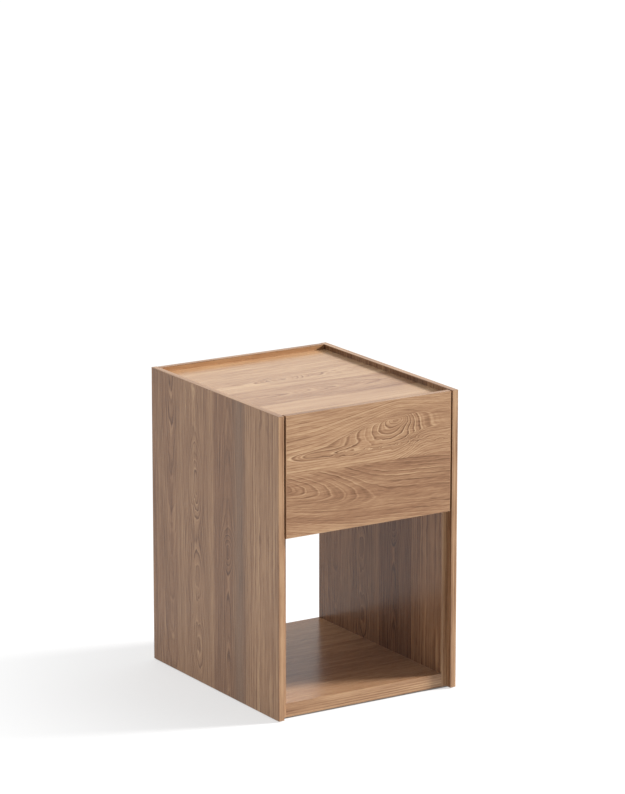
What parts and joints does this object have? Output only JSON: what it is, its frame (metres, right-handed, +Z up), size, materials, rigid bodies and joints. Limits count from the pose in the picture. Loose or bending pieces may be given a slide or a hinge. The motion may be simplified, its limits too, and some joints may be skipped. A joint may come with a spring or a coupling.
{
  "type": "bedside cabinet",
  "caption": "Free-standing bedside cabinet with thin full-height sides, a tray-like top, a handleless drawer on ball-bearing slides and an open see-through niche below.",
  "frame": {"origin": "on the floor, under the centre of the cabinet outline", "axes": "+X to the right as seen from the front, +Y to the back, +Z up; the drawer opens along -Y"},
  "size_m": [0.372, 0.435, 0.55],
  "materials": {
    "ball_cage": "thin pressed steel",
    "ball_steel": "polished bearing balls",
    "bumper_rubber": "clear soft pad",
    "cam_zinc": "die-cast zinc",
    "dowel_wood": "raw beech",
    "drawer_box_wood": "clear lacquered birch plywood",
    "edge_band": "thin wood edge band, eased",
    "glide_plastic": "dark nylon",
    "screw_cap": "brown moulded cap",
    "screw_steel": "zinc-plated",
    "slide_steel": "zinc-plated pressed steel",
    "veneer_front": "satin lacquered veneer, grain level",
    "veneer_level": "satin lacquered veneer, grain from side to side",
    "veneer_upright": "satin lacquered oak-walnut veneer, grain upright"
  },
  "bodies": {
    "carcass": {"back_panel": "veneer_upright", "back_panel_bottom_band": "edge_band", "back_panel_screws": "screw_steel", "back_panel_top_band": "edge_band", "back_screw_caps": "screw_cap", "cabinet_member_screws": "screw_steel", "cam_bolts": "screw_steel", "cam_housings": "cam_zinc", "carcass_dowels": "dowel_wood", "drawer_divider": "veneer_level", "drawer_divider_front_band": "edge_band", "glide_nails": "screw_steel", "glides": "glide_plastic", "left_inner_back_band": "edge_band", "left_inner_front_band": "edge_band", "left_inner_side": "veneer_upright", "left_outer_back_band": "edge_band", "left_outer_front_band": "edge_band", "left_outer_side": "veneer_upright", "left_outer_top_band": "edge_band", "left_slide_cabinet_member": "slide_steel", "niche_floor": "veneer_level", "niche_floor_back_band": "edge_band", "niche_floor_front_band": "edge_band", "right_inner_back_band": "edge_band", "right_inner_front_band": "edge_band", "right_inner_side": "veneer_upright", "right_outer_back_band": "edge_band", "right_outer_front_band": "edge_band", "right_outer_side": "veneer_upright", "right_outer_top_band": "edge_band", "right_slide_cabinet_member": "slide_steel", "top_panel": "veneer_level", "top_panel_front_band": "edge_band"},
    "drawer": {"drawer_bottom": "drawer_box_wood", "drawer_box_back": "drawer_box_wood", "drawer_box_dowels": "dowel_wood", "drawer_box_front": "drawer_box_wood", "drawer_box_left_side": "drawer_box_wood", "drawer_box_right_side": "drawer_box_wood", "drawer_bumpers": "bumper_rubber", "drawer_front": "veneer_front", "drawer_front_bottom_band": "edge_band", "drawer_front_left_band": "edge_band", "drawer_front_right_band": "edge_band", "drawer_front_screws": "screw_steel", "drawer_front_top_band": "edge_band", "drawer_member_screws": "screw_steel", "left_slide_drawer_member": "slide_steel", "right_slide_drawer_member": "slide_steel"},
    "left_intermediate": {"left_slide_intermediate_member": "slide_steel"},
    "left_outer_cage": {"left_outer_ball_cage": "ball_cage", "left_outer_balls": "ball_steel"},
    "left_inner_cage": {"left_inner_ball_cage": "ball_cage", "left_inner_balls": "ball_steel"},
    "right_intermediate": {"right_slide_intermediate_member": "slide_steel"},
    "right_outer_cage": {"right_outer_ball_cage": "ball_cage", "right_outer_balls": "ball_steel"},
    "right_inner_cage": {"right_inner_ball_cage": "ball_cage", "right_inner_balls": "ball_steel"}
  },
  "joints": [
    {"name": "drawer_slide", "type": "slide", "parent": "carcass", "child": "drawer", "axis": [0, -1, 0], "range_m": [0, 0.3]},
    {"name": "left_intermediate_slide", "type": "slide", "parent": "carcass", "child": "left_intermediate", "axis": [0, -1, 0], "range_m": [0, 0.15]},
    {"name": "left_outer_cage_slide", "type": "slide", "parent": "carcass", "child": "left_outer_cage", "axis": [0, -1, 0], "range_m": [0, 0.075]},
    {"name": "left_inner_cage_slide", "type": "slide", "parent": "carcass", "child": "left_inner_cage", "axis": [0, -1, 0], "range_m": [0, 0.225]},
    {"name": "right_intermediate_slide", "type": "slide", "parent": "carcass", "child": "right_intermediate", "axis": [0, -1, 0], "range_m": [0, 0.15]},
    {"name": "right_outer_cage_slide", "type": "slide", "parent": "carcass", "child": "right_outer_cage", "axis": [0, -1, 0], "range_m": [0, 0.075]},
    {"name": "right_inner_cage_slide", "type": "slide", "parent": "carcass", "child": "right_inner_cage", "axis": [0, -1, 0], "range_m": [0, 0.225]}
  ],
  "couplings": [
    {"joint": "left_intermediate_slide", "follows": "drawer_slide", "ratio": 0.5},
    {"joint": "left_outer_cage_slide", "follows": "drawer_slide", "ratio": 0.25},
    {"joint": "left_inner_cage_slide", "follows": "drawer_slide", "ratio": 0.75},
    {"joint": "right_intermediate_slide", "follows": "drawer_slide", "ratio": 0.5},
    {"joint": "right_outer_cage_slide", "follows": "drawer_slide", "ratio": 0.25},
    {"joint": "right_inner_cage_slide", "follows": "drawer_slide", "ratio": 0.75}
  ]
}
